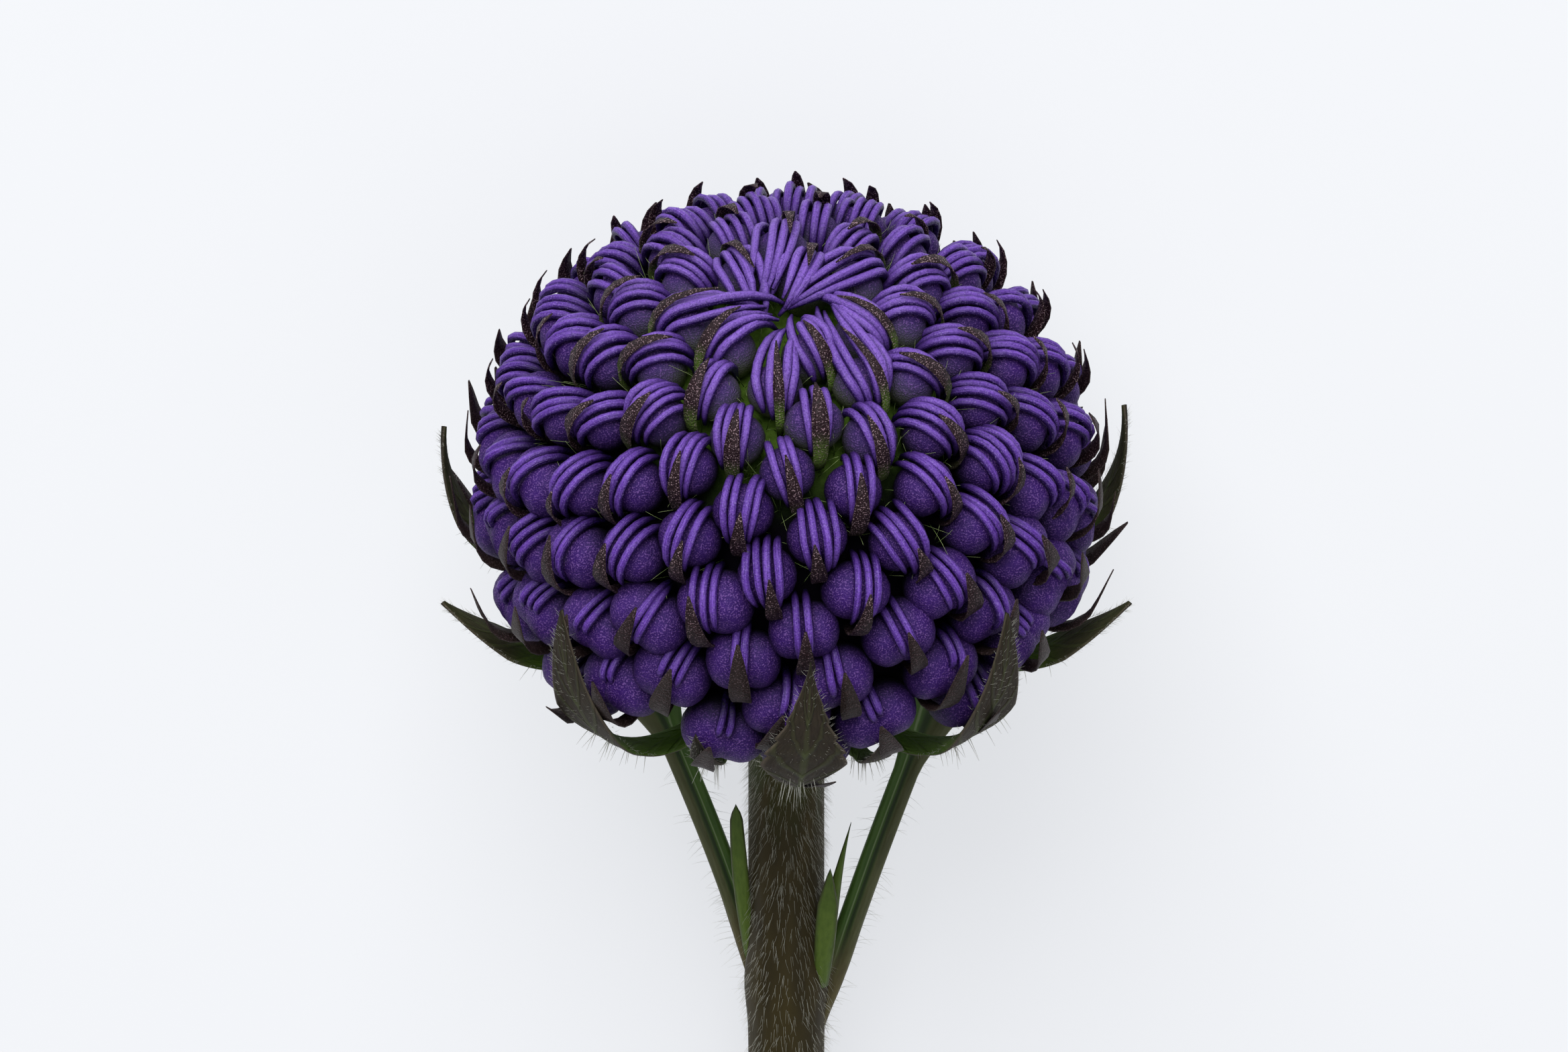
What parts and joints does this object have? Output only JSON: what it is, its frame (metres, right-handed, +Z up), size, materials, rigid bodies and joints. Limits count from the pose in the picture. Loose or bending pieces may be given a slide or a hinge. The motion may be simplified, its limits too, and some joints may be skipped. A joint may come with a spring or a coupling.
{
  "type": "scabiosa flower",
  "caption": "Cut scabiosa flower with a domed violet head, a ring of bracts, a hairy stem and two opposite leaves, lying on its side.",
  "frame": {"origin": "on the surface the flower lies on, under the middle of its outline seen from above", "axes": "+Z up, +Y along the stem from its cut end towards the head, +X to the right when the head is away from the viewer"},
  "size_m": [0.0274, 0.0578, 0.0253],
  "materials": {
    "floret_violet": "matte",
    "bract_olive": "matte",
    "stem_olive": "matte",
    "leaf_green": "matte"
  },
  "bodies": {
    "root": {"floret_head": "floret_violet", "bract_1": "bract_olive", "bract_2": "bract_olive", "bract_3": "bract_olive", "bract_4": "bract_olive", "bract_5": "bract_olive", "bract_6": "bract_olive", "bract_7": "bract_olive", "bract_8": "bract_olive", "bract_9": "bract_olive", "bract_10": "bract_olive", "bract_11": "bract_olive", "inner_bract_1": "bract_olive", "inner_bract_2": "bract_olive", "inner_bract_3": "bract_olive", "inner_bract_4": "bract_olive", "inner_bract_5": "bract_olive", "inner_bract_6": "bract_olive", "stem": "stem_olive", "leaf_left": "leaf_green", "leaf_right": "leaf_green", "axil_leaf_left": "leaf_green", "axil_leaf_right": "leaf_green", "axil_leaf_right_small": "leaf_green"}
  },
  "joints": []
}
